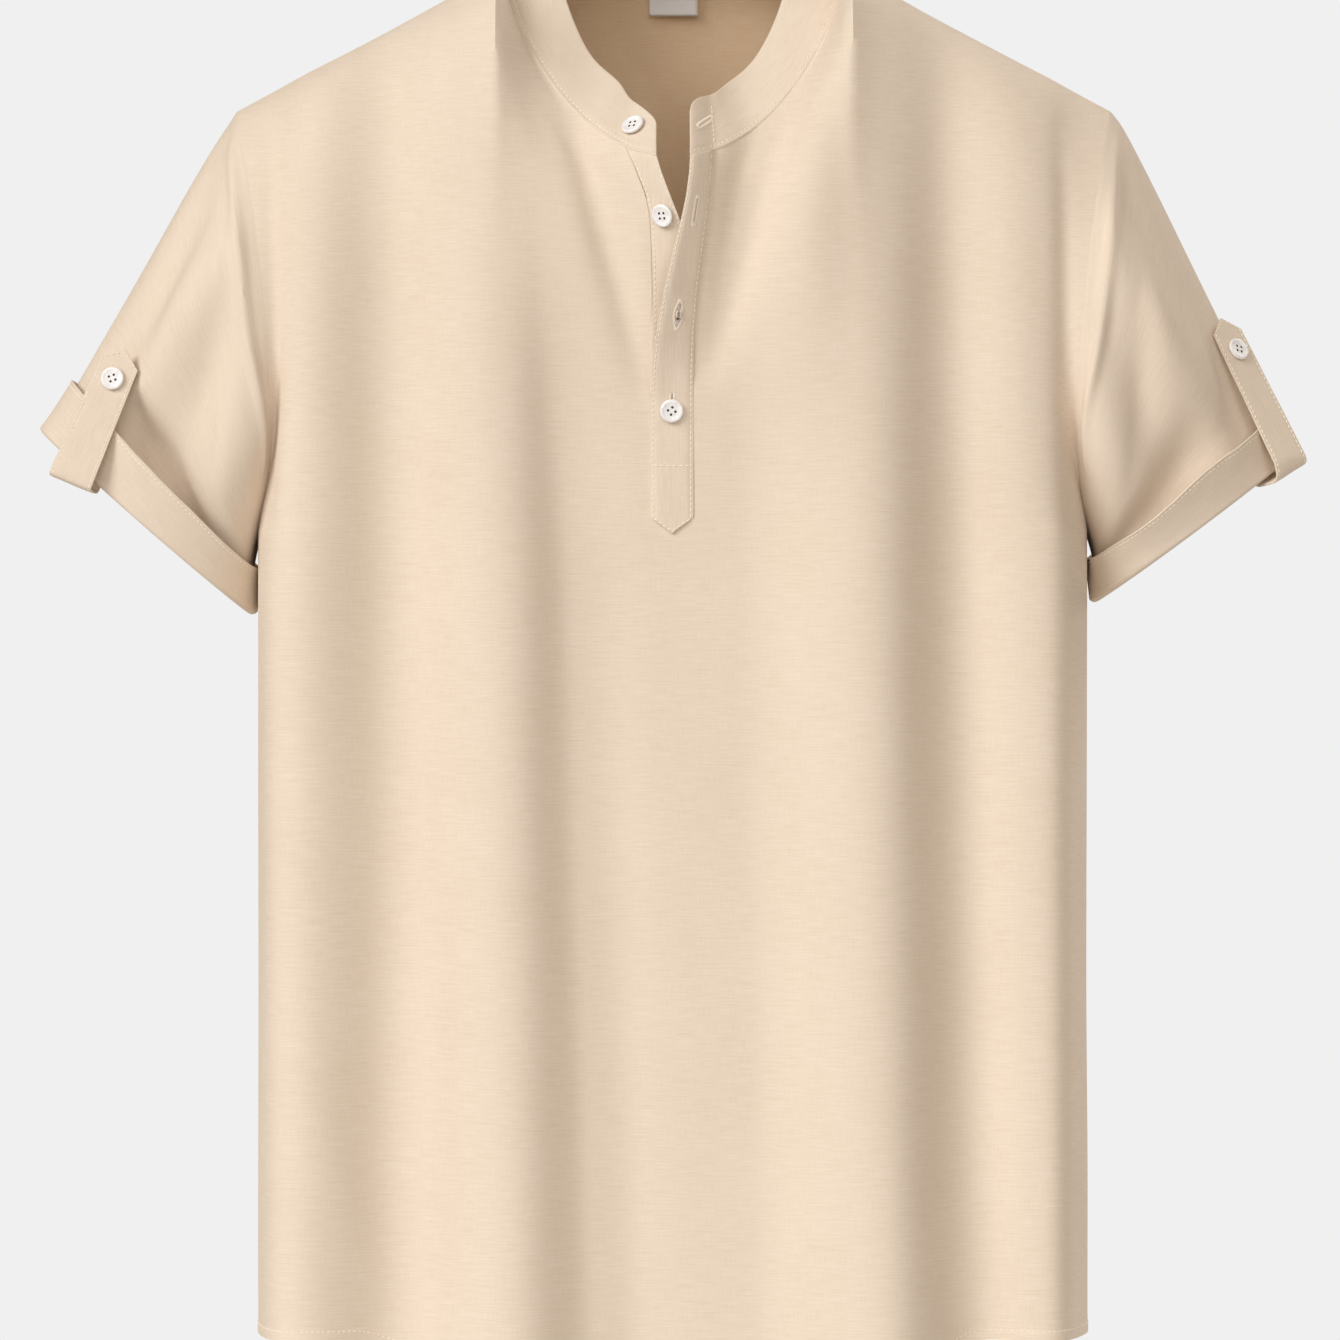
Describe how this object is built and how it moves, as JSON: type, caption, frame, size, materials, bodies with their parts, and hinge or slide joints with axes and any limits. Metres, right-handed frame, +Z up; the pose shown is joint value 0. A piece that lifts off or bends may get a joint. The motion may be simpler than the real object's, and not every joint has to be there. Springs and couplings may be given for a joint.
{
  "type": "henley shirt",
  "caption": "Hollow henley shirt in linen-look cloth with a band collar, a half placket that stands open, and short sleeves with tabbed, turned-back cuffs.",
  "frame": {"origin": "on the line through both neck ends of the shoulder seams, midway between them, where the shirt rests on a wearer's shoulders", "axes": "+Z up, -Y the way the front faces, +X towards the wearer's left"},
  "size_m": [0.6616, 0.1889, 0.7802],
  "materials": {
    "cloth": "matt slubby plain weave",
    "button": "pearly",
    "label": "smooth satin tape"
  },
  "bodies": {
    "root": {"front": "cloth", "back": "cloth", "collar": "cloth", "placket_top": "cloth", "placket_under": "cloth", "sleeve_right": "cloth", "sleeve_left": "cloth", "tab_right": "cloth", "tab_left": "cloth", "button_collar": "button", "button_under": "button", "button_behind": "button", "button_front": "button", "button_tab_right": "button", "button_tab_left": "button", "label": "label"}
  },
  "joints": []
}
